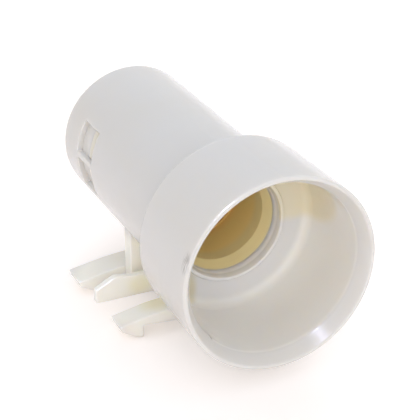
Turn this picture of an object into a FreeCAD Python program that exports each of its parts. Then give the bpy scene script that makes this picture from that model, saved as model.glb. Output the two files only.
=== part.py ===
import FreeCAD, Part
import math
import os

# Refrigerator lamp holder for a small screw lamp (14 mm cap with a 17 mm skirt).
# While it is built, Y is the distance behind the mouth of the cup, in millimetres.
# Finished pieces are moved so that the origin lies on the lamp axis where the lamp bore starts.
# -X is the side of the snap prongs, and +Z is up.

# Lamp cap: every radius follows from the thread of the cap
cap_thread_radius = 7.05
skirt_step = 1.5
bore_length = 10.0
cap_depth = 11.4

# Socket insert
funnel_flare = 1.0
funnel_depth = 2.2
insert_wall = 1.75
insert_rib_height = 1.7
insert_rib_width = 1.4
insert_rib_count = 4
insert_rib_turn = 45.0
insert_collar = 4.0
insert_skirt_lead = 1.0
insert_skirt_wall = 1.4
insert_skirt_length = 9.2
insert_floor_thickness = 2.2
insert_rounding = 0.3
insert_clearance = 0.1

# Tube
tube_wall = 1.8
tube_tail = 9.8
edge_rounding = 0.4
seam_angle = 90.0

# Cup
cup_length = 19.5
cup_room = 1.9
cup_wall = 1.8
cup_flare = 0.4
lip_depth = 2.6
lip_crest = 0.7
lip_rounding = 0.8
outer_edge_rounding = 0.45
floor_corner_rounding = 1.6
shoulder_length = 3.1
shoulder_rounding = 0.8

# Cup floor and the rim round its opening
floor_step = 0.4
floor_thickness = 2.1
rim_flare = 0.45
rim_width = 0.6
rim_height = 0.5
rim_slope = 0.15
rim_rounding = 0.25

# Windows in the tube for the catches of the socket, placed from the end of the insert
window_lead = 4.5
window_tail = 2.7
strap_lead = 1.2
strap_thickness = 0.7
window_span = 26.5
window_rib = 5.0
window_middle = 178.0
catch_height = 1.05
catch_ramp = 1.6
catch_clearance = 0.15
window_rounding = 0.25

# Bracket that carries the prongs below the tube; its web stops against the front of the wall
web_inset = 2.5
web_thickness = 3.1
plate_inset = 3.4
bracket_far_side = 5.0
rib_thickness = 2.0
bracket_rounding = 0.5
bracket_edge_rounding = 0.25

# Snap prongs, which reach through a slot in the wall
wall_room = 4.0
front_hook_width = 4.8
rear_hook_width = 5.8
hook_prong_lead = 6.5
hook_prong_spacing = 19.2
hook_drop = 2.2
hook_root_thickness = 3.0
hook_shoulder_drop = 0.55
hook_top_bend = 12.0
front_hook_reach = 4.55
rear_hook_reach = 5.4
hook_tip_drop = 1.8
hook_tip_height = 1.2
hook_tip_lean = 0.4
hook_tip_rounding = 0.2
hook_nose_rounding = 0.5
hook_height = 4.9
hook_heel_length = 1.7
hook_heel_rise = 0.4
hook_heel_rounding = 1.5
hook_neck = 1.75
hook_neck_slope = 0.7
hook_corner_rounding = 0.3
keel_drop = 0.7
keel_height = 4.2
keel_thickness = 1.5
keel_top_bend = 8.0
keel_hump = 0.55
keel_hump_lead = 0.9
keel_hump_length = 3.4
keel_hump_bend = 2.0
keel_lead_in = 1.5
keel_tip_rounding = 0.3
keel_reach = 4.8

# Screw shell
shell_wall = 0.4
shell_lip = 0.75
shell_lip_room = 0.15
shell_lip_sink = 0.4
shell_flange_width = 2.25
shell_rounding = 0.3

# Rivets
rivet_clearance = 0.05
rivet_head = 0.5
rivet_head_rounding = 0.4
shell_rivet_radius = 0.6
shell_rivet_head_radius = 0.9
shell_rivet_edge = 0.1
centre_rivet_radius = 0.7
centre_rivet_head_radius = 1.25

# Contact leaf
leaf_gap = 0.8
leaf_root_length = 1.5
leaf_flat_length = 1.4
leaf_thickness = 0.4
leaf_width = 3.0
leaf_rise = 1.7
leaf_rise_length = 2.2
leaf_contact_length = 1.0
leaf_end_drop = 0.5
leaf_bend_radius = 0.3

# Push-on tabs
tab_thickness = 0.8
tab_width = 6.3
tab_length = 9.0
tab_hole_radius = 0.8
tab_hole_from_end = 3.6
tab_chamfer = 0.8
tab_bend_radius = 0.4
shell_tab_offset = 1.8
centre_tab_offset = 2.3
foot_margin = 2.1

# Overlap of joined forms, and the reach of cuts past a face
overlap = 0.5
cut_reach = 1.0

# Radii, from the lamp cap outwards
shell_radius = cap_thread_radius + shell_wall
seat_radius = shell_radius + insert_clearance
bore_radius = cap_thread_radius + skirt_step
opening_radius = bore_radius + funnel_flare
rim_mouth_radius = opening_radius + rim_flare
insert_body_radius = bore_radius + insert_wall
insert_radius = insert_body_radius + insert_rib_height
tube_inner_radius = insert_radius + insert_clearance
tube_radius = tube_inner_radius + tube_wall
cup_inner_radius = tube_radius + cup_room
cup_back_radius = cup_inner_radius + cup_wall
mouth_radius = cup_back_radius + cup_flare

# Distances behind the mouth
cup_floor = cup_length + floor_step
floor_back = cup_floor + floor_thickness
bore_entry = floor_back + funnel_depth
bore_end = bore_entry + bore_length
shell_lip_front = bore_end + shell_lip_sink
shell_seat = shell_lip_front + shell_wall
insert_floor = bore_end + cap_depth
insert_floor_back = insert_floor + insert_floor_thickness
insert_end = insert_floor_back + insert_skirt_length
insert_collar_back = floor_back + insert_collar
insert_skirt_front = insert_floor - insert_skirt_lead
tube_end = insert_end + tube_tail
window_front = insert_end - window_lead
window_back = insert_end + window_tail
strap_front = insert_end - strap_lead

# Heights below the lamp axis and reach to the side
hook_top = tube_radius + hook_drop
hook_depth = hook_top + hook_height
keel_top = tube_radius + keel_drop
keel_bottom = keel_top + keel_height
bracket_bottom = hook_top + hook_root_thickness
web_side = tube_radius - web_inset
bracket_side = web_side - plate_inset
hook_catch = web_side + wall_room
hook_heel = hook_catch + hook_heel_length
keel_tip = hook_catch + keel_reach
keel_hump_at = hook_catch + keel_hump_lead

# Places of the prongs along the tube
hook_prong_first = cup_length + hook_prong_lead
hook_prong_last = hook_prong_first + hook_prong_spacing
keel_at = (hook_prong_first + hook_prong_last) / 2
bracket_front = hook_prong_first - front_hook_width / 2
bracket_back = hook_prong_last + rear_hook_width / 2
web_front = bracket_back - rear_hook_width - web_thickness

# Places of the contacts across the socket floor
shell_flange_radius = cap_thread_radius - shell_flange_width
shell_rivet_at = shell_flange_radius + shell_rivet_edge + shell_rivet_head_radius
leaf_root_end = leaf_gap - shell_flange_radius
centre_rivet_at = leaf_root_end + leaf_root_length
leaf_bend = centre_rivet_at + leaf_flat_length
shell_tab_side = shell_rivet_at - shell_tab_offset
centre_tab_side = centre_rivet_at - centre_tab_offset


def rounded_wire(corners, place):
    """Closed wire through corners (u, v, rounding); place turns (u, v) into a point."""
    count = len(corners)
    edges = []
    previous_end = None
    first_start = None
    for index in range(count):
        before = place(*corners[index - 1][:2])
        corner = place(*corners[index][:2])
        after = place(*corners[(index + 1) % count][:2])
        rounding = corners[index][2]
        start, end, arc = corner, corner, None
        if rounding > 0:
            inward = (before - corner).normalize()
            outward = (after - corner).normalize()
            half_angle = inward.getAngle(outward) / 2
            setback = rounding / math.tan(half_angle)
            start = corner + inward * setback
            end = corner + outward * setback
            bisector = (inward + outward).normalize()
            centre = corner + bisector * (rounding / math.sin(half_angle))
            arc = Part.Arc(start, centre - bisector * rounding, end).toShape()
        if previous_end is None:
            first_start = start
        elif (start - previous_end).Length > 1e-6:
            edges.append(Part.makeLine(previous_end, start))
        if arc is not None:
            edges.append(arc)
        previous_end = end
    edges.append(Part.makeLine(previous_end, first_start))
    return Part.Wire(edges)


def turned(corners, start_angle=0, span=360):
    """Solid turned about the lamp axis from corners (radius, distance, rounding)."""
    wire = rounded_wire(corners, lambda radius, distance: FreeCAD.Vector(radius, distance, 0))
    face = Part.Face(wire)
    axis_point = FreeCAD.Vector(0, 0, 0)
    axis = FreeCAD.Vector(0, -1, 0)
    face.rotate(axis_point, axis, start_angle)
    return face.revolve(axis_point, axis, span)


def cross_plate(corners, front, thickness):
    """Plate across the lamp axis from corners (x, z, rounding)."""
    wire = rounded_wire(corners, lambda x, z: FreeCAD.Vector(x, front, z))
    return Part.Face(wire).extrude(FreeCAD.Vector(0, thickness, 0))


def soft_plate(corners, front, thickness):
    """Plate across the lamp axis with the edges of both faces rounded."""
    plate = cross_plate(corners, front, thickness)
    rim = []
    for edge in plate.Edges:
        ends = [vertex.Y for vertex in edge.Vertexes]
        if abs(ends[0] - ends[-1]) < 1e-6:
            rim.append(edge)
    return plate.makeFillet(bracket_edge_rounding, rim)


def bent_strip(points, thickness, width, bend_radius):
    """Sheet-metal strip of even thickness along points (x, distance), centred on Z = 0."""
    middle = [FreeCAD.Vector(x, distance, 0) for x, distance in points]
    directions = [(b - a).normalize() for a, b in zip(middle, middle[1:])]
    normals = [FreeCAD.Vector(-d.y, d.x, 0) for d in directions]
    sides = [[], []]
    for index, point in enumerate(middle):
        first = normals[max(index - 1, 0)]
        second = normals[min(index, len(normals) - 1)]
        mitre = (first + second).normalize()
        reach = thickness / 2 / mitre.dot(first)
        turn = first.cross(second).z
        inner, outer = bend_radius, bend_radius + thickness
        roundings = (inner, outer) if turn > 0 else (outer, inner)
        if abs(turn) < 1e-6:
            roundings = (0, 0)
        for side, sign, rounding in zip(sides, (1, -1), roundings):
            corner = point + mitre * reach * sign
            side.append((corner.x, corner.y, rounding))
    outline = sides[0] + sides[1][::-1]
    wire = rounded_wire(outline, lambda x, distance: FreeCAD.Vector(x, distance, -width / 2))
    return Part.Face(wire).extrude(FreeCAD.Vector(0, 0, width))


def pin_along_axis(x, radius, front, back):
    return Part.makeCylinder(radius, back - front, FreeCAD.Vector(x, front, 0), FreeCAD.Vector(0, 1, 0))


def edges_at_radius(body, radius, front, back):
    """Edges of a body that lie at a radius between two distances, both included."""
    chosen = []
    for edge in body.Edges:
        first, last = edge.ParameterRange
        points = [edge.valueAt(first + (last - first) * step / 4) for step in range(5)]
        at_radius = all(abs(math.hypot(point.x, point.z) - radius) < 1e-3 for point in points)
        between = all(front - 1e-3 < point.y < back + 1e-3 for point in points)
        if at_radius and between:
            chosen.append(edge)
    return chosen


def window_starts():
    """Start angles of the window pair on the prong side and of the pair opposite."""
    first = window_middle - window_rib / 2 - window_span
    second = window_middle + window_rib / 2
    return [first, second, first + 180, second + 180]


def shell_of_revolution():
    rim_outer_radius = rim_mouth_radius + rim_width
    rim_crest = cup_floor - rim_height
    corners = [
        (mouth_radius, 0, outer_edge_rounding),
        (cup_back_radius, cup_length, edge_rounding),
        (tube_radius, cup_length + shoulder_length, shoulder_rounding),
        (tube_radius, tube_end, edge_rounding),
        (tube_inner_radius, tube_end, edge_rounding),
        (tube_inner_radius, floor_back, 0),
        (opening_radius, floor_back, 0),
        (rim_mouth_radius, rim_crest, rim_rounding),
        (rim_outer_radius, rim_crest, rim_rounding),
        (rim_outer_radius + rim_slope, cup_floor, rim_slope),
        (cup_inner_radius, cup_floor, floor_corner_rounding),
        (cup_inner_radius, lip_depth, 2 * lip_rounding),
        (mouth_radius - lip_crest, 0, lip_rounding / 2),
    ]
    return turned(corners, seam_angle)


def hook_prong(middle, width, reach):
    """Flat arm with a barb below its tip."""
    root = overlap - bracket_side
    tip = hook_catch + reach
    tip_top = hook_top + hook_tip_drop
    corners = [
        (root, -hook_top, 0),
        (hook_neck - hook_catch, -hook_top - hook_shoulder_drop, hook_top_bend),
        (-tip, -tip_top, hook_tip_rounding),
        (hook_tip_lean - tip, -tip_top - hook_tip_height, hook_nose_rounding),
        (-hook_heel, hook_heel_rise - hook_depth, hook_heel_rounding),
        (-hook_catch, -hook_depth, hook_corner_rounding),
        (-hook_catch, -hook_top - hook_neck - hook_neck_slope, hook_corner_rounding),
        (root, -bracket_bottom, 0),
    ]
    return soft_plate(corners, middle - width / 2, width)


def keel_prong():
    """Thin upright blade between the hooks, with a hump above its tip."""
    corners = [
        (bracket_far_side, -keel_top, 0),
        (keel_hump_length - keel_hump_at, -keel_top, keel_top_bend),
        (-keel_hump_at, keel_hump - keel_top, keel_hump_bend),
        (-keel_tip, -keel_top - keel_lead_in, keel_tip_rounding),
        (-keel_tip, -keel_bottom, keel_tip_rounding),
        (bracket_far_side, -keel_bottom, 0),
    ]
    return soft_plate(corners, keel_at - keel_thickness / 2, keel_thickness)


def cross_wall(side, front, thickness):
    """Wall from the tube down to the underside of the bracket."""
    corners = [
        (-side, 0, 0),
        (-side, -bracket_bottom, bracket_rounding),
        (bracket_far_side, -bracket_bottom, bracket_rounding),
        (bracket_far_side, 0, 0),
    ]
    return soft_plate(corners, front, thickness)


def bracket():
    """Web, base plate and rib below the tube, with the three prongs."""
    plate = Part.makeBox(bracket_side + bracket_far_side, bracket_back - bracket_front, hook_root_thickness,
                         FreeCAD.Vector(-bracket_side, bracket_front, -bracket_bottom))
    plate = plate.makeFillet(bracket_edge_rounding, plate.Edges)
    pieces = [
        cross_wall(web_side, web_front, web_thickness),
        cross_wall(bracket_side, hook_prong_first - rib_thickness / 2, rib_thickness),
        keel_prong(),
        hook_prong(hook_prong_first, front_hook_width, front_hook_reach),
        hook_prong(hook_prong_last, rear_hook_width, rear_hook_reach),
    ]
    joined = plate.fuse(pieces)
    inside_of_tube = pin_along_axis(0, tube_radius - tube_wall / 2, 0, tube_end)
    return joined.cut(inside_of_tube)


def housing():
    """Cup, tube and snap bracket, moulded in one piece, with the windows of the catches."""
    body = shell_of_revolution().fuse(bracket()).removeSplitter()
    cuts = []
    for start in window_starts():
        through = [
            (tube_inner_radius - cut_reach, window_front, 0),
            (tube_radius + cut_reach, window_front, 0),
            (tube_radius + cut_reach, strap_front, 0),
            (tube_inner_radius - cut_reach, strap_front, 0),
        ]
        recess = [
            (tube_inner_radius + strap_thickness, window_front, 0),
            (tube_radius + cut_reach, window_front, 0),
            (tube_radius + cut_reach, window_back, 0),
            (tube_inner_radius + strap_thickness, window_back, 0),
        ]
        cuts.append(turned(through, start, window_span))
        cuts.append(turned(recess, start, window_span))
    body = body.cut(cuts)
    return body.makeFillet(window_rounding, edges_at_radius(body, tube_radius, window_front, window_back))


def socket_body():
    lip_recess_radius = shell_radius + shell_lip + shell_lip_room
    corners = [
        (insert_radius, floor_back, insert_rounding),
        (insert_radius, insert_collar_back, insert_rounding),
        (insert_body_radius, insert_collar_back, insert_rounding),
        (insert_body_radius, insert_skirt_front, insert_rounding),
        (insert_radius, insert_skirt_front, insert_rounding),
        (insert_radius, insert_end, insert_rounding),
        (insert_radius - insert_skirt_wall, insert_end, insert_rounding),
        (insert_radius - insert_skirt_wall, insert_floor_back, insert_rounding),
        (0, insert_floor_back, 0),
        (0, insert_floor, 0),
        (seat_radius, insert_floor, 0),
        (seat_radius, shell_seat, 0),
        (lip_recess_radius, shell_seat, 0),
        (lip_recess_radius, bore_end, 0),
        (bore_radius, bore_end, 0),
        (bore_radius, bore_entry, insert_rounding),
        (opening_radius, floor_back, 0),
    ]
    return turned(corners)


def lamp_socket():
    """Insulating insert: lamp bore in front, contacts on its floor, skirt with catches behind."""
    additions = []
    for number in range(insert_rib_count):
        rib = Part.makeBox(insert_radius - insert_body_radius + overlap,
                           insert_skirt_front - insert_collar_back + 2 * overlap,
                           insert_rib_width,
                           FreeCAD.Vector(insert_body_radius - overlap, insert_collar_back - overlap,
                                          -insert_rib_width / 2))
        turn = insert_rib_turn + 360 / insert_rib_count * number
        rib.rotate(FreeCAD.Vector(0, 0, 0), FreeCAD.Vector(0, 1, 0), turn)
        additions.append(rib)
    clear_angle = math.degrees(catch_clearance / tube_radius)
    catch_start = window_front + catch_clearance
    catch_end = strap_front - catch_clearance
    profile = [
        (insert_radius - overlap, catch_start, 0),
        (insert_radius, catch_start, 0),
        (insert_radius + catch_height, catch_start + catch_ramp, 0),
        (insert_radius + catch_height, catch_end, 0),
        (insert_radius - overlap, catch_end, 0),
    ]
    for start in window_starts():
        additions.append(turned(profile, start + clear_angle, window_span - 2 * clear_angle))
    body = socket_body().fuse(additions).removeSplitter()
    catch_edges = edges_at_radius(body, insert_radius + catch_height, catch_start, catch_end)
    body = body.makeFillet(window_rounding, catch_edges)
    rivet_places = [(shell_rivet_at, shell_rivet_radius), (centre_rivet_at, centre_rivet_radius)]
    holes = []
    for rivet_at, rivet_radius in rivet_places:
        holes.append(pin_along_axis(rivet_at, rivet_radius + rivet_clearance, insert_floor - cut_reach,
                                    insert_floor_back + cut_reach))
    return body.cut(holes)


def screw_shell():
    """Brass sleeve with a lip on the seat and a flange on the socket floor."""
    corners = [
        (shell_radius + shell_lip, shell_lip_front, 0),
        (shell_radius + shell_lip, shell_seat, 0),
        (shell_radius, shell_seat, 0),
        (shell_radius, insert_floor, shell_rounding),
        (shell_flange_radius, insert_floor, 0),
        (shell_flange_radius, insert_floor - shell_wall, 0),
        (cap_thread_radius, insert_floor - shell_wall, shell_rounding),
        (cap_thread_radius, shell_lip_front, shell_rounding),
    ]
    return turned(corners).cut(pin_along_axis(shell_rivet_at, shell_rivet_radius + rivet_clearance,
                                              insert_floor - cut_reach, insert_floor + cut_reach))


def rivet(x, radius, head_radius, sheet_thickness):
    """Round-headed rivet through a metal sheet, the socket floor and a terminal foot."""
    front = insert_floor - sheet_thickness
    back = insert_floor_back + tab_thickness
    corners = [
        (0, front - rivet_head, 0),
        (head_radius, front - rivet_head, rivet_head_rounding),
        (head_radius, front, 0),
        (radius, front, 0),
        (radius, back, 0),
        (head_radius, back, 0),
        (head_radius, back + rivet_head, rivet_head_rounding),
        (0, back + rivet_head, 0),
    ]
    pin = turned(corners)
    pin.translate(FreeCAD.Vector(x, 0, 0))
    return pin


def centre_contact():
    """Spring leaf that presses on the lamp's centre contact."""
    level = insert_floor - leaf_thickness / 2
    raised = level - leaf_rise
    rise_end = leaf_bend + leaf_rise_length
    contact_end = rise_end + leaf_contact_length
    points = [
        (leaf_root_end, level),
        (leaf_bend, level),
        (rise_end, raised),
        (contact_end, raised),
        (contact_end + leaf_end_drop, raised + leaf_end_drop),
    ]
    leaf = bent_strip(points, leaf_thickness, leaf_width, leaf_bend_radius)
    return leaf.cut(pin_along_axis(centre_rivet_at, centre_rivet_radius + rivet_clearance,
                                   insert_floor - cut_reach, insert_floor + cut_reach))


def terminal(rivet_at, rivet_radius, tab_side):
    """Push-on tab with a riveted foot against the back of the socket floor."""
    level = insert_floor_back + tab_thickness / 2
    tab_end = insert_floor_back + tab_length
    foot_end = rivet_at + foot_margin
    path = [(foot_end, level), (tab_side, level), (tab_side, tab_end)]
    strip = bent_strip(path, tab_thickness, tab_width, tab_bend_radius)
    reach = tab_thickness / 2 + cut_reach
    across = FreeCAD.Vector(2 * reach, 0, 0)
    hole = Part.makeCylinder(tab_hole_radius, across.Length,
                             FreeCAD.Vector(tab_side - reach, tab_end - tab_hole_from_end, 0), across)
    rivet_hole = pin_along_axis(rivet_at, rivet_radius + rivet_clearance, insert_floor_back - cut_reach,
                                insert_floor_back + tab_thickness + cut_reach)
    cuts = [hole, rivet_hole]
    for side in (-1, 1):
        edge = side * tab_width / 2
        corner = [
            FreeCAD.Vector(tab_side - reach, tab_end, edge - side * tab_chamfer),
            FreeCAD.Vector(tab_side - reach, tab_end - tab_chamfer, edge),
            FreeCAD.Vector(tab_side - reach, tab_end, edge),
        ]
        cuts.append(Part.Face(Part.makePolygon(corner + corner[:1])).extrude(across))
    return strip.cut(cuts)


shapes = {
    "housing": housing(),
    "lamp_socket": lamp_socket(),
    "screw_shell": screw_shell(),
    "shell_rivet": rivet(shell_rivet_at, shell_rivet_radius, shell_rivet_head_radius, shell_wall),
    "shell_terminal": terminal(shell_rivet_at, shell_rivet_radius, shell_tab_side),
    "centre_contact": centre_contact(),
    "centre_rivet": rivet(centre_rivet_at, centre_rivet_radius, centre_rivet_head_radius, leaf_thickness),
    "centre_terminal": terminal(centre_rivet_at, centre_rivet_radius, centre_tab_side),
}

os.makedirs("parts", exist_ok=True)
for name, shape in shapes.items():
    shape.translate(FreeCAD.Vector(0, -bore_entry, 0))
    shape.exportStep("parts/" + name + ".step")
    print(name, len(shape.Solids), "solid", round(shape.Volume, 1), "mm3", shape.isValid())
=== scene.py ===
import math

import bpy
from mathutils import Euler, Matrix, Vector


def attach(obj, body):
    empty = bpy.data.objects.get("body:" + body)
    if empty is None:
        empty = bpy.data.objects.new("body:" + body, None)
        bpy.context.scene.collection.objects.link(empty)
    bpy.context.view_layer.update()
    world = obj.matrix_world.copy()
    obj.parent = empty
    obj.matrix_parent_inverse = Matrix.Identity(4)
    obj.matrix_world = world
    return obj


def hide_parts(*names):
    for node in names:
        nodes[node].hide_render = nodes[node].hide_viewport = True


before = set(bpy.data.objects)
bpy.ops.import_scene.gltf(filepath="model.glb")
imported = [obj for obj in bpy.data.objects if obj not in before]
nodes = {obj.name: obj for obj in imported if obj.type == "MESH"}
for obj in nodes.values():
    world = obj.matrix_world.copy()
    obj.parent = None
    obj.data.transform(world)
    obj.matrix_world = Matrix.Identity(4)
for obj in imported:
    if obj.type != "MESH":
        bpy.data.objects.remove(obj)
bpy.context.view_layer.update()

scene = bpy.context.scene
print("frame loaded:", ", ".join(sorted(nodes)))

mm = 0.001  # in metres

# the Mix node's inputs and its mixed colour go by number, because its kinds share their names
mixFactor, numberA, numberB, colourA, colourB = 0, 2, 3, 6, 7
mixedColour = 2


def hexColour(code):
    # sRGB, as written, to the linear values that a shader takes
    channels = [int(code[i:i + 2], 16) / 255 for i in (1, 3, 5)]
    linear = [c / 12.92 if c <= 0.04045 else ((c + 0.055) / 1.055) ** 2.4 for c in channels]
    return (*linear, 1.0)


def millimetres(values):
    return tuple(value * mm for value in values)


def addNode(tree, kind, settings=None, links=None):
    # settings are attributes of the node, or inputs by name or number; links join sockets to inputs
    node = tree.nodes.new(kind)
    settings = settings or {}
    for key, value in settings.items():
        if isinstance(key, str) and key not in node.inputs:
            setattr(node, key, value)
    for key, value in settings.items():
        if not isinstance(key, str) or key in node.inputs:
            node.inputs[key].default_value = value
    for key, source in (links or {}).items():
        tree.links.new(source, node.inputs[key])
    return node


def newMaterial(name):
    material = bpy.data.materials.new(name)
    material.use_nodes = True
    material.node_tree.nodes.clear()
    return material, material.node_tree


def dress(piece, material):
    piece.data.materials.clear()
    piece.data.materials.append(material)


cameraView = {
    "place": (-103.6, -216.9, 121.7),  # mm, from a fit to the outlines in the photo, as are the angles
    "azimuth": -25.1129,  # degrees, 0 looks along +Y
    "elevation": 26.6077,  # degrees that it looks down
    "focalPixels": 1500.0,
    "imagePixels": 420.0,
    "sensor": 36.0,  # mm
    "nearest": 0.01,  # m, as is the next
    "farthest": 20.0,
}


def makeCamera(view):
    data = bpy.data.cameras.new("camera")
    data.sensor_width = view["sensor"]
    data.lens = view["sensor"] * view["focalPixels"] / view["imagePixels"]
    data.clip_start = view["nearest"]
    data.clip_end = view["farthest"]
    camera = bpy.data.objects.new("camera", data)
    turn = Euler((math.radians(90 - view["elevation"]), 0, math.radians(view["azimuth"])))
    camera.matrix_world = Matrix.Translation(Vector(view["place"]) * mm) @ turn.to_matrix().to_4x4()
    scene.collection.objects.link(camera)
    scene.camera = camera


makeCamera(cameraView)
print("camera set")


strokeRange = (0.45, 0.55)  # noise at which a stroke of a scuff begins and is full


def zoneMask(tree, place, zone):
    # full strength in the core of a stretched ball and nothing outside it;
    # grain breaks it into strokes, and a second ball can limit it
    moved = addNode(tree, "ShaderNodeVectorMath",
                    {"operation": "SUBTRACT", 1: millimetres(zone["centre"])}, {0: place}).outputs[0]
    scaled = addNode(tree, "ShaderNodeVectorMath",
                     {"operation": "DIVIDE", 1: millimetres(zone["size"])}, {0: moved}).outputs[0]
    away = addNode(tree, "ShaderNodeVectorMath", {"operation": "LENGTH"}, {0: scaled}).outputs["Value"]
    mask = addNode(tree, "ShaderNodeMapRange",
                   {"interpolation_type": "SMOOTHSTEP", "From Min": zone["core"], "From Max": 1.0,
                    "To Min": zone["strength"], "To Max": 0.0}, {"Value": away}).outputs[0]
    limits = []
    if "grain" in zone:
        along = addNode(tree, "ShaderNodeVectorMath",
                        {"operation": "DIVIDE", 1: millimetres(zone["grain"])}, {0: moved}).outputs[0]
        noise = addNode(tree, "ShaderNodeTexNoise", {"Scale": 1.0, "Detail": 1.0},
                        {"Vector": along}).outputs["Fac"]
        limits.append(addNode(tree, "ShaderNodeMapRange",
                              {"From Min": strokeRange[0], "From Max": strokeRange[1]},
                              {"Value": noise}).outputs[0])
    if "within" in zone:
        limits.append(zoneMask(tree, place, zone["within"]))
    for limit in limits:
        mask = addNode(tree, "ShaderNodeMath", {"operation": "MULTIPLY"}, {0: mask, 1: limit}).outputs[0]
    return mask


mouldPatterns = {
    "detail": {"drift": 2.0, "rub": 4.0, "peel": 1.5, "sink": 0.0},  # how finely each noise breaks up
    "rubRange": (0.35, 0.7),  # noise at which the skin is fresh and is fully rubbed
}


def mouldedPlastic(look):
    material, tree = newMaterial(look["name"])
    place = addNode(tree, "ShaderNodeTexCoord").outputs["Object"]
    pattern = {}
    for kind, detail in mouldPatterns["detail"].items():
        pattern[kind] = addNode(tree, "ShaderNodeTexNoise",
                                {"Scale": 1 / (look[kind + "Size"] * mm), "Detail": detail},
                                {"Vector": place}).outputs["Fac"]
    colour = addNode(tree, "ShaderNodeMix", {"data_type": "RGBA", colourA: hexColour(look["colour"]),
                                             colourB: hexColour(look["drift"])},
                     {mixFactor: pattern["drift"]}).outputs[mixedColour]
    for zone in look["zones"]:
        colour = addNode(tree, "ShaderNodeMix", {"data_type": "RGBA", colourB: hexColour(zone["colour"])},
                         {mixFactor: zoneMask(tree, place, zone), colourA: colour}).outputs[mixedColour]
    fresh, rubbed = mouldPatterns["rubRange"]
    gloss = addNode(tree, "ShaderNodeMapRange", {"From Min": fresh, "From Max": rubbed,
                                                 "To Min": look["gloss"][0], "To Max": look["gloss"][1]},
                    {"Value": pattern["rub"]}).outputs[0]
    waves = addNode(tree, "ShaderNodeBump", {"Strength": 1.0, "Distance": look["sinkDepth"] * mm},
                    {"Height": pattern["sink"]}).outputs["Normal"]
    skin = addNode(tree, "ShaderNodeBump", {"Strength": 1.0, "Distance": look["peelDepth"] * mm},
                   {"Height": pattern["peel"], "Normal": waves}).outputs["Normal"]
    shader = addNode(tree, "ShaderNodeBsdfPrincipled",
                     {"IOR": look["ior"], "Subsurface Weight": look["subsurface"],
                      "Subsurface Radius": look["glow"], "Subsurface Scale": look["glowDepth"] * mm},
                     {"Base Color": colour, "Roughness": gloss, "Normal": skin})
    addNode(tree, "ShaderNodeOutputMaterial", {}, {0: shader.outputs[0]})
    return material


# a zone's centre and half widths are in mm, and core is the share of it at full strength; these two
# are stretched so far that they cut like a plane, in front of the cup's floor, and a tube, in its wall
cupDepth = {"centre": (0, -53, 0), "size": (600, 49.1, 600), "core": 0.993, "strength": 1.0}
cupInside = {"centre": (0, 0, 0), "size": (16.0, 300, 16.0), "core": 0.99, "strength": 1.0,
             "within": cupDepth}

# polypropylene out of a polished mould: a soft gloss, milky where light gets into it,
# with a faint orange peel and shallow sinks that bend the reflections
housingPlastic = {
    "name": "polishedMouldPolypropylene",
    "colour": "#dcdcdc",
    "drift": "#dbd9d4",  # the other end of a slow change of tone
    "driftSize": 14.0,  # mm, as are the other sizes and depths
    "gloss": (0.16, 0.26),  # roughness where fresh and where rubbed
    "rubSize": 3.0,
    "peelSize": 1.1,
    "peelDepth": 0.0015,
    "sinkSize": 9.0,
    "sinkDepth": 0.03,
    "ior": 1.49,
    "subsurface": 0.8,
    "glow": (1.0, 0.9, 0.75),  # how far red, green and blue light travel inside, as shares of the next
    "glowDepth": 2.0,
    "zones": [
        {**cupInside, "colour": "#edece9"},  # painted light: the inside of the cup made paler than the outside, for light it lacks
        {"centre": (0, -4.3, 0), "size": (15.4, 0.9, 15.4), "core": 0.88, "strength": 0.8,
         "colour": "#e0e0e0"},  # painted shade: the cup's floor greyed
        {"centre": (0, -2.2, 0), "size": (10.9, 3.4, 10.9), "core": 0.93, "strength": 1.0,
         "colour": "#fdfbfa"},  # painted light: the rim round the opening made near white, to brighten its shaded face
        {"centre": (-12, 12, -18), "size": (13, 18, 11), "core": 0.7, "strength": 1.0,
         "colour": "#fffaee"},  # painted light: the prongs made paler, to brighten their shaded faces
        {"centre": (-11.5, 3.0, -17.0), "size": (4.6, 4.0, 3.6), "core": 0.2, "strength": 0.55,
         "colour": "#ebe4bd"},  # painted shade: warm yellow shade at the root of the front hook
        {"centre": (-11.5, 10.6, -16.8), "size": (3.4, 2.5, 3.2), "core": 0.2, "strength": 0.4,
         "colour": "#f0e5be"},  # painted shade, the same, at the root of the keel
        {"centre": (13, -5, 10), "size": (15, 13, 12), "core": 0.82, "strength": 1.0,
         "colour": "#e9e3cf", "within": cupInside},  # painted shade: warm yellow shade on the upper right wall and floor inside the cup
        {"centre": (-8.0, -4.3, -10.8), "size": (1.9, 1.5, 4.8), "core": 0.3, "strength": 0.8,
         "colour": "#dbd4b8"},  # painted shade: olive-tinged shade on the floor, just clear of the lip
        {"centre": (-17.0, -22.9, 5.6), "size": (1.4, 1.5, 2.9), "core": 0.3, "strength": 0.55,
         "colour": "#8f8d8a", "grain": (0.7, 0.22, 2.8)},  # grey scuff beside the lip
        {"centre": (-11.75, -21.0, -10.55), "size": (0.5, 1.2, 0.5), "core": 0.2, "strength": 0.7,
         "colour": "#6e6a66"},  # dark fleck inside the lip
    ],
}

# the stretch of the insert, from its front to the screw shell, that is painted with warm shade
socketDepth = {"centre": (0, 10, 0), "size": (300, 13, 300), "core": 0.9, "strength": 1.0}
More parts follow.
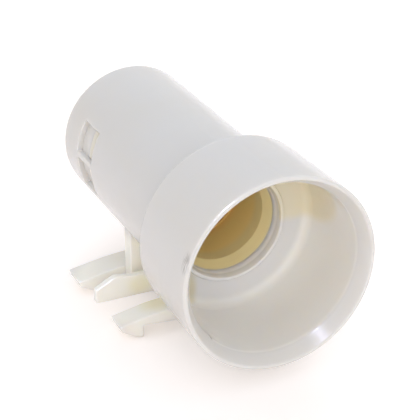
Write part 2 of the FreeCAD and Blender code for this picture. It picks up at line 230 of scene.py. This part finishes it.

# glass-filled polyester out of a plain mould: ivory and satin outside;
# the bore is painted golden to stand for the warm shade deep inside it
socketPlastic = {
    "name": "mouldedPolyesterPaintedBoreShade",
    "colour": "#e2dfd4",
    "drift": "#e0dac8",
    "driftSize": 7.0,
    "gloss": (0.28, 0.4),
    "rubSize": 1.6,
    "peelSize": 0.5,
    "peelDepth": 0.004,
    "sinkSize": 6.0,
    "sinkDepth": 0.03,
    "ior": 1.55,
    "subsurface": 0.2,
    "glow": (1.0, 0.7, 0.35),
    "glowDepth": 0.8,
    "zones": [
        {"centre": (0, 10.0, 0), "size": (10.1, 300.0, 10.1), "core": 0.93, "strength": 1.0,
         "colour": "#eadba6", "within": socketDepth},  # the funnel, painted with warm shade
        {"centre": (0, 30, 0), "size": (9.6, 62, 9.6), "core": 0.984, "strength": 1.0,
         "colour": "#f5dd98", "within": socketDepth},  # the bore, painted with warm shade
        {"centre": (0, 12.0, 0), "size": (9.2, 12.6, 9.2), "core": 0.9, "strength": 1.0,
         "colour": "#f8ca7c"},  # painted deeper warm shade, near the shell
    ],
}


metalPatterns = {
    "tarnishDetail": 4.0,
    "tarnishRange": (0.4, 0.72),  # noise at which tarnish begins and is full
    "lineDetail": 3.0,
    "lineRange": (0.3, 0.7),  # noise at which a line is brightest and dullest
}


def metalSheet(look):
    material, tree = newMaterial(look["name"])
    place = addNode(tree, "ShaderNodeTexCoord").outputs["Object"]
    tarnish = addNode(tree, "ShaderNodeTexNoise",
                      {"Scale": 1 / (look["tarnishSize"] * mm), "Detail": metalPatterns["tarnishDetail"]},
                      {"Vector": place}).outputs["Fac"]
    clean, dull = metalPatterns["tarnishRange"]
    patches = addNode(tree, "ShaderNodeMapRange",
                      {"From Min": clean, "From Max": dull, "To Max": look["tarnish"]},
                      {"Value": tarnish}).outputs[0]
    colour = addNode(tree, "ShaderNodeMix", {"data_type": "RGBA", colourA: hexColour(look["colour"]),
                                             colourB: hexColour(look["stain"])},
                     {mixFactor: patches}).outputs[mixedColour]
    along = addNode(tree, "ShaderNodeVectorMath",
                    {"operation": "DIVIDE", 1: millimetres(look["grain"])}, {0: place}).outputs[0]
    lines = addNode(tree, "ShaderNodeTexNoise", {"Scale": 1.0, "Detail": metalPatterns["lineDetail"]},
                    {"Vector": along}).outputs["Fac"]
    low, high = metalPatterns["lineRange"]
    gloss = addNode(tree, "ShaderNodeMapRange", {"From Min": low, "From Max": high,
                                                 "To Min": look["gloss"][0], "To Max": look["gloss"][1]},
                    {"Value": lines}).outputs[0]
    skin = addNode(tree, "ShaderNodeBump", {"Strength": 1.0, "Distance": look["lineDepth"] * mm},
                   {"Height": lines}).outputs["Normal"]
    shader = addNode(tree, "ShaderNodeBsdfPrincipled", {"Metallic": 1.0},
                     {"Base Color": colour, "Roughness": gloss, "Normal": skin})
    addNode(tree, "ShaderNodeOutputMaterial", {}, {0: shader.outputs[0]})
    return material


# brass sheet drawn into a cup and rolled to a thread: fine lines run round it,
# with dull patches of tarnish
shellBrass = {
    "name": "drawnBrassSheet",
    "colour": "#e8dcb4",
    "stain": "#b8965c",
    "tarnish": 0.6,  # strength where it is full
    "tarnishSize": 2.5,  # mm, as are the grain and the depth of the lines
    "grain": (2.0, 0.06, 2.0),  # longest along the lines
    "gloss": (0.2, 0.38),  # roughness where brightest and dullest
    "lineDepth": 0.004,
}

# brass strip, rolled flat and stamped: straight rolling lines along the blade
terminalBrass = {
    "name": "stampedBrassStrip",
    "colour": "#e6d08e",
    "stain": "#b08d50",
    "tarnish": 0.45,
    "tarnishSize": 3.5,
    "grain": (0.08, 3.0, 0.08),
    "gloss": (0.22, 0.36),
    "lineDepth": 0.003,
}

# brass wire with heads pressed up cold: burnished crowns with small dents
rivetBrass = {
    "name": "headedBrassWire",
    "colour": "#dcc284",
    "stain": "#a5804c",
    "tarnish": 0.5,
    "tarnishSize": 0.8,
    "grain": (0.25, 0.25, 0.25),
    "gloss": (0.22, 0.42),
    "lineDepth": 0.01,
}

# phosphor bronze spring strip: redder and harder looking, with fine lines along the leaf
contactBronze = {
    "name": "rolledPhosphorBronze",
    "colour": "#d9ac7c",
    "stain": "#94683f",
    "tarnish": 0.5,
    "tarnishSize": 1.2,
    "grain": (1.5, 0.06, 0.06),
    "gloss": (0.2, 0.34),
    "lineDepth": 0.002,
}

drawnBrass = metalSheet(shellBrass)
stampedBrass = metalSheet(terminalBrass)
headedBrass = metalSheet(rivetBrass)
dress(nodes["housing"], mouldedPlastic(housingPlastic))
dress(nodes["lamp_socket"], mouldedPlastic(socketPlastic))
dress(nodes["shell_rivet"], headedBrass)
dress(nodes["centre_rivet"], headedBrass)
dress(nodes["shell_terminal"], stampedBrass)
dress(nodes["centre_terminal"], stampedBrass)
dress(nodes["centre_contact"], metalSheet(contactBronze))
print("materials made")


# the solid shell is a plain sleeve; this one has the rolled thread, which is right-handed
threadShell = {
    "lipRadius": 8.2,  # mm, as are all here but the last three
    "lipFront": 10.4,  # behind the origin, as are the next three
    "threadStart": 11.9,
    "threadEnd": 20.4,
    "floor": 21.4,
    "innerRadius": 7.05,
    "wall": 0.4,
    "holeRadius": 4.8,
    "bend": 0.35,
    "pitch": 2.822,  # nine turns to the inch
    "threadDepth": 0.75,
    "fade": 0.9,  # length over which the thread comes up and dies away
    "step": 0.18,
    "bendSteps": 6,
    "around": 144,  # points in a turn
    "sharpAngle": 40.0,  # degrees
}


def shellMeridian(look):
    # middle of the sheet from the lip to the hole in the floor, as (radius, distance)
    middle = look["innerRadius"] + look["wall"] / 2
    lip = look["lipFront"] + look["wall"] / 2
    base = look["floor"] - look["wall"] / 2
    bend = look["bend"]
    turns = [math.pi / 2 * step / look["bendSteps"] for step in range(1, look["bendSteps"])]
    straight = base - lip - 2 * bend
    count = round(straight / look["step"])
    path = [(look["lipRadius"], lip), (middle + bend, lip)]
    path += [(middle + bend - bend * math.sin(turn), lip + bend - bend * math.cos(turn)) for turn in turns]
    path += [(middle, lip + bend + straight * step / count) for step in range(count + 1)]
    path += [(middle - bend + bend * math.cos(turn), base - bend + bend * math.sin(turn)) for turn in turns]
    path += [(middle - bend, base), (look["holeRadius"], base)]
    return path


def threadInward(look, distance, angle):
    # how far the rolled thread stands in from the plain sleeve
    into = min(distance - look["threadStart"], look["threadEnd"] - distance) / look["fade"]
    fade = max(0.0, min(1.0, into))
    ease = fade * fade * (3 - 2 * fade)
    phase = angle - 2 * math.pi * distance / look["pitch"]
    return look["threadDepth"] / 2 * (1 - math.cos(phase)) * ease


def makeThreadShell(look):
    path = shellMeridian(look)
    rows, around = len(path), look["around"]
    vertices = []
    for side in (-1, 1):  # the sheet's inner face, then its outer one
        for column in range(around):
            angle = 2 * math.pi * column / around
            line = [(radius - threadInward(look, distance, angle), distance) for radius, distance in path]
            for row, (radius, distance) in enumerate(line):
                before, after = line[max(row - 1, 0)], line[min(row + 1, rows - 1)]
                run = Vector((after[0] - before[0], after[1] - before[1])).normalized()
                radius += side * look["wall"] / 2 * run.y
                distance -= side * look["wall"] / 2 * run.x
                point = Vector((radius * math.sin(angle), distance, radius * math.cos(angle)))
                vertices.append(point * mm)
    faces = []
    sheet = rows * around
    for column in range(around):
        here, there = column * rows, (column + 1) % around * rows
        for row in range(rows - 1):
            inner = (here + row, there + row, there + row + 1, here + row + 1)
            faces.append(inner)
            faces.append(tuple(sheet + index for index in reversed(inner)))
        for row, order in ((0, 1), (rows - 1, -1)):  # the cut edges of the lip and of the hole
            faces.append((here + row, sheet + here + row, sheet + there + row, there + row)[::order])
    mesh = bpy.data.meshes.new("threadShell")
    mesh.from_pydata(vertices, [], faces)
    mesh.shade_smooth()
    mesh.set_sharp_from_angle(angle=math.radians(look["sharpAngle"]))
    piece = bpy.data.objects.new("threadShell", mesh)
    scene.collection.objects.link(piece)
    dress(piece, drawnBrass)
    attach(piece, "root")
    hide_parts("screw_shell")


makeThreadShell(threadShell)
print("thread shell made")


def lookedAt(tree):
    # 1 where the surroundings are seen, straight or in a reflection, and 0 where they light the object
    rays = addNode(tree, "ShaderNodeLightPath").outputs
    seen = rays["Is Camera Ray"]
    for kind in ("Is Glossy Ray", "Is Transmission Ray"):
        seen = addNode(tree, "ShaderNodeMath", {"operation": "MAXIMUM"},
                       {0: seen, 1: rays[kind]}).outputs[0]
    return seen


# mat board with a pulp surface: no shine, and a trace of fibre in the tone;
# its lift only whitens what is seen of it
floorBoard = {
    "name": "whiteMatBoard",
    "level": -21.1,  # mm, just below the hooks
    "size": 3.0,  # m
    "colour": "#f6efea",
    "fibre": "#f3ece8",
    "fibreSize": 1.5,  # mm
    "fibreDetail": 3.0,
    "roughness": 0.9,
    "specular": 0.1,
    "lift": 0.32,
    "liftColour": "#ffffff",
}


def makeFloor(look):
    half, level = look["size"] / 2, look["level"] * mm
    corners = [(-half, -half, level), (half, -half, level), (half, half, level), (-half, half, level)]
    mesh = bpy.data.meshes.new("floor")
    mesh.from_pydata(corners, [], [(0, 1, 2, 3)])
    floor = bpy.data.objects.new("floor", mesh)
    scene.collection.objects.link(floor)
    material, tree = newMaterial(look["name"])
    place = addNode(tree, "ShaderNodeTexCoord").outputs["Object"]
    fibre = addNode(tree, "ShaderNodeTexNoise",
                    {"Scale": 1 / (look["fibreSize"] * mm), "Detail": look["fibreDetail"]},
                    {"Vector": place}).outputs["Fac"]
    colour = addNode(tree, "ShaderNodeMix", {"data_type": "RGBA", colourA: hexColour(look["colour"]),
                                             colourB: hexColour(look["fibre"])},
                     {mixFactor: fibre}).outputs[mixedColour]
    lift = addNode(tree, "ShaderNodeMath", {"operation": "MULTIPLY", 1: look["lift"]},
                   {0: lookedAt(tree)}).outputs[0]
    shader = addNode(tree, "ShaderNodeBsdfPrincipled",
                     {"Roughness": look["roughness"], "Specular IOR Level": look["specular"],
                      "Emission Color": hexColour(look["liftColour"])},
                     {"Base Color": colour, "Emission Strength": lift})
    addNode(tree, "ShaderNodeOutputMaterial", {}, {0: shader.outputs[0]})
    dress(floor, material)


lightTent = {
    "top": "#f3f7ff",
    "side": "#fffaf5",
    "topFrom": 0.8,  # height, on a sky of radius 1, where the top's colour and strength are full
    "topStrength": 0.79,
    "sideStrength": 0.77,
    "backdrop": 1.0,  # strength where it is looked at, which shows as white
}


def makeWorld(look):
    world = bpy.data.worlds.new("lightTent")
    scene.world = world
    world.use_nodes = True
    tree = world.node_tree
    tree.nodes.clear()
    way = addNode(tree, "ShaderNodeTexCoord").outputs["Generated"]
    height = addNode(tree, "ShaderNodeSeparateXYZ", {}, {0: way}).outputs["Z"]
    rise = addNode(tree, "ShaderNodeMapRange", {"From Max": look["topFrom"]}, {"Value": height}).outputs[0]
    colour = addNode(tree, "ShaderNodeMix", {"data_type": "RGBA", colourA: hexColour(look["side"]),
                                             colourB: hexColour(look["top"])},
                     {mixFactor: rise}).outputs[mixedColour]
    soft = addNode(tree, "ShaderNodeMapRange",
                   {"To Min": look["sideStrength"], "To Max": look["topStrength"]},
                   {"Value": rise}).outputs[0]
    strength = addNode(tree, "ShaderNodeMix", {numberB: look["backdrop"]},
                       {mixFactor: lookedAt(tree), numberA: soft}).outputs[0]
    glow = addNode(tree, "ShaderNodeBackground", {}, {"Color": colour, "Strength": strength})
    addNode(tree, "ShaderNodeOutputWorld", {}, {0: glow.outputs[0]})


# places in mm, sizes in m and power in watts; one that soaks lights matt surfaces,
# and one that shines is seen in glossy ones
softboxes = [
    {"name": "frontSoftbox", "place": (-250, -540, 260), "size": 0.5, "power": 1.08,
     "colour": "#fdf9f8", "soaks": True, "shines": False},
    {"name": "lowSoftbox", "place": (-180, -560, 60), "size": 0.5, "power": 0.54,
     "colour": "#fff9f7", "soaks": True, "shines": False},
    {"name": "backSoftbox", "place": (330, 470, 330), "size": 0.4, "power": 0.98,
     "colour": "#f4f7ff", "soaks": True, "shines": False},  # lifts the far edges without a streak
    {"name": "smallLamp", "place": (-257, -58, 538), "size": 0.05, "power": 6.0,
     "colour": "#dcdeff", "soaks": False, "shines": True},  # only the glint on the lip
]


def makeSoftbox(look):
    data = bpy.data.lights.new(look["name"], "AREA")
    data.size = look["size"]
    data.energy = look["power"]
    data.color = hexColour(look["colour"])[:3]
    lamp = bpy.data.objects.new(look["name"], data)
    lamp.location = Vector(look["place"]) * mm
    lamp.rotation_euler = (-lamp.location).to_track_quat("-Z", "Y").to_euler()
    lamp.visible_diffuse = look["soaks"]
    lamp.visible_glossy = look["shines"]
    scene.collection.objects.link(lamp)


makeFloor(floorBoard)
makeWorld(lightTent)
for softbox in softboxes:
    makeSoftbox(softbox)
scene.view_settings.view_transform = "Standard"
print("studio set")
